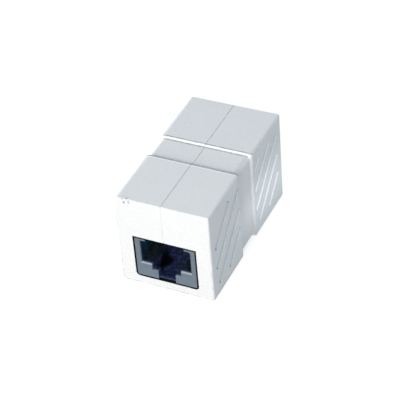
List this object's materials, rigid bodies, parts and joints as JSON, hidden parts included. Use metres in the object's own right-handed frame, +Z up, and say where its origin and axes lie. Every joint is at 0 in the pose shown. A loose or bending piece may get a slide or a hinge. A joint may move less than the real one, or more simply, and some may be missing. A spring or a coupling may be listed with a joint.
{
  "type": "rj45 inline coupler",
  "caption": "Small box-shaped coupler that joins two network cables end to end, with a modular socket in each end face and grooved finger grips on the sides.",
  "frame": {"origin": "on the surface that the body rests on, under the middle of the body", "axes": "+X across the width to the right, +Y along the length from the front socket to the rear one, +Z up"},
  "size_m": [0.022, 0.039, 0.023],
  "materials": {
    "housing": "satin white moulded plastic",
    "jack": "dark blue-grey moulded plastic",
    "comb": "black moulded plastic",
    "contact": "gold-plated spring wire",
    "board": "green glass-fibre circuit board"
  },
  "bodies": {
    "root": {"housing_left": "housing", "housing_right": "housing", "front_jack_body": "jack", "rear_jack_body": "jack", "front_contact_comb": "comb", "rear_contact_comb": "comb", "circuit_board": "board", "front_contact_1": "contact", "front_contact_2": "contact", "front_contact_3": "contact", "front_contact_4": "contact", "front_contact_5": "contact", "front_contact_6": "contact", "front_contact_7": "contact", "front_contact_8": "contact", "rear_contact_1": "contact", "rear_contact_2": "contact", "rear_contact_3": "contact", "rear_contact_4": "contact", "rear_contact_5": "contact", "rear_contact_6": "contact", "rear_contact_7": "contact", "rear_contact_8": "contact"}
  },
  "joints": []
}
